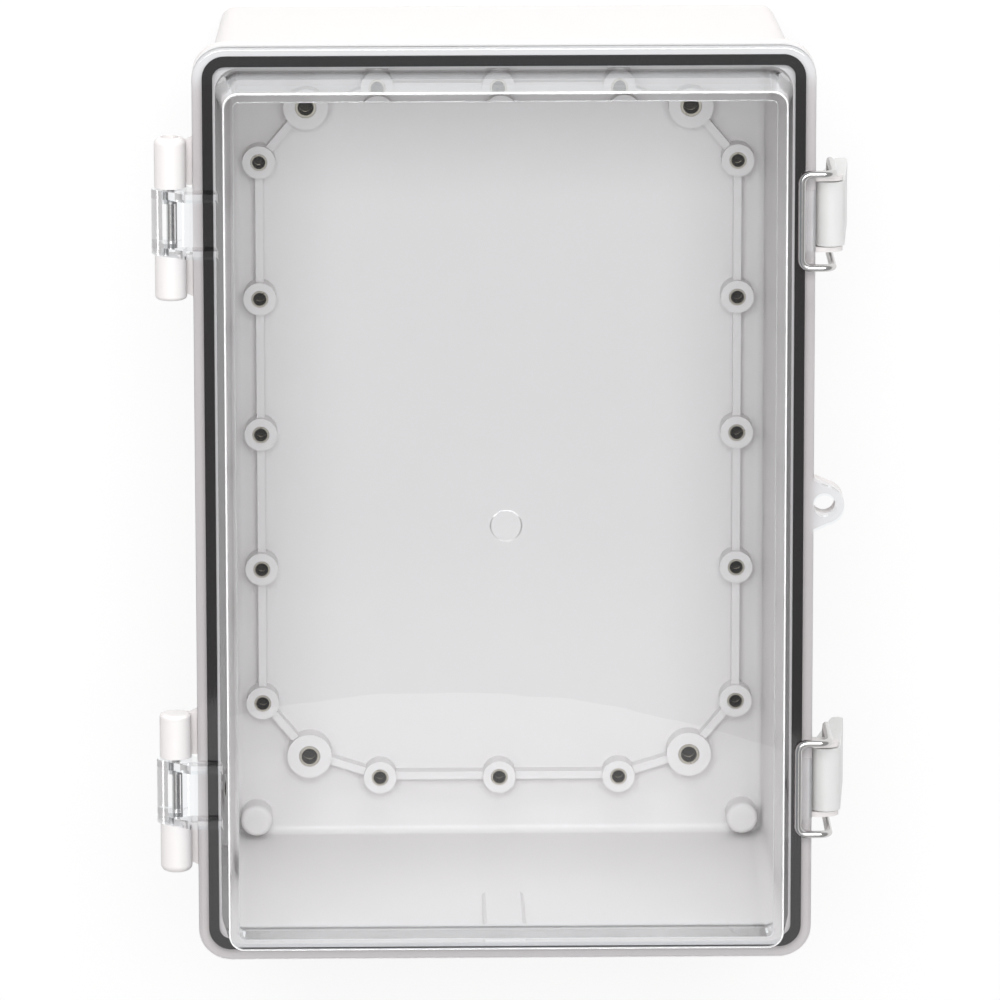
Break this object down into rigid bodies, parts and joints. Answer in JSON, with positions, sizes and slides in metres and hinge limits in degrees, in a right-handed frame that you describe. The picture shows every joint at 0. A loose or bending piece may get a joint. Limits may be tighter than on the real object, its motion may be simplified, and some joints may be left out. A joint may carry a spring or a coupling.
{
  "type": "hinged plastic enclosure",
  "caption": "Grey plastic box with a hinged clear lid, over-centre wire latches, a padlock eye, threaded floor inserts and rear fixing holes, to house electronics.",
  "frame": {"origin": "centre of the back face, midway between the rear fixing holes", "axes": "+X from the hinges to the latches, +Y to the upper end, +Z from the back face to the lid"},
  "size_m": [0.2148, 0.2874, 0.14],
  "materials": {
    "shell": "moulded, satin",
    "clear": "clear polycarbonate, polished",
    "seal": "black foamed seal, matte",
    "lever": "moulded, satin",
    "wire": "drawn stainless wire",
    "pin": "ground steel",
    "insert": "plated brass"
  },
  "bodies": {
    "base": {"base_shell": "shell", "left_insert_1": "insert", "left_insert_2": "insert", "left_insert_3": "insert", "left_insert_4": "insert", "left_insert_5": "insert", "right_insert_1": "insert", "right_insert_2": "insert", "right_insert_3": "insert", "right_insert_4": "insert", "right_insert_5": "insert", "top_insert_1": "insert", "top_insert_2": "insert", "top_insert_3": "insert", "bottom_insert_1": "insert", "bottom_insert_2": "insert", "bottom_insert_3": "insert", "upper_left_plate_insert": "insert", "upper_right_plate_insert": "insert", "lower_left_plate_insert": "insert", "lower_right_plate_insert": "insert", "upper_hinge_pin": "pin", "lower_hinge_pin": "pin", "upper_lever_pin": "pin", "lower_lever_pin": "pin"},
    "lid": {"clear_lid": "clear", "lid_gasket": "seal"},
    "upper_lever": {"upper_lever": "lever"},
    "lower_lever": {"lower_lever": "lever"},
    "upper_bail": {"upper_bail": "wire"},
    "lower_bail": {"lower_bail": "wire"}
  },
  "joints": [
    {"name": "lid_hinge", "type": "hinge", "parent": "base", "child": "lid", "pos_m": [-0.1018, 0, 0.112], "axis": [0, -1, 0], "range_deg": [0, 170]},
    {"name": "upper_lever_hinge", "type": "hinge", "parent": "base", "child": "upper_lever", "pos_m": [0.1, 0.0895, 0.1025], "axis": [0, -1, 0], "range_deg": [0, 90]},
    {"name": "upper_bail_hinge", "type": "hinge", "parent": "upper_lever", "child": "upper_bail", "pos_m": [0.1004, 0.0895, 0.093], "axis": [0, -1, 0], "range_deg": [-180, 0]},
    {"name": "lower_lever_hinge", "type": "hinge", "parent": "base", "child": "lower_lever", "pos_m": [0.1, -0.0895, 0.1025], "axis": [0, -1, 0], "range_deg": [0, 90]},
    {"name": "lower_bail_hinge", "type": "hinge", "parent": "lower_lever", "child": "lower_bail", "pos_m": [0.1004, -0.0895, 0.093], "axis": [0, -1, 0], "range_deg": [-180, 0]}
  ],
  "couplings": [
    {"joint": "upper_bail_hinge", "follows": "upper_lever_hinge", "ratio": -2},
    {"joint": "lower_bail_hinge", "follows": "lower_lever_hinge", "ratio": -2}
  ]
}
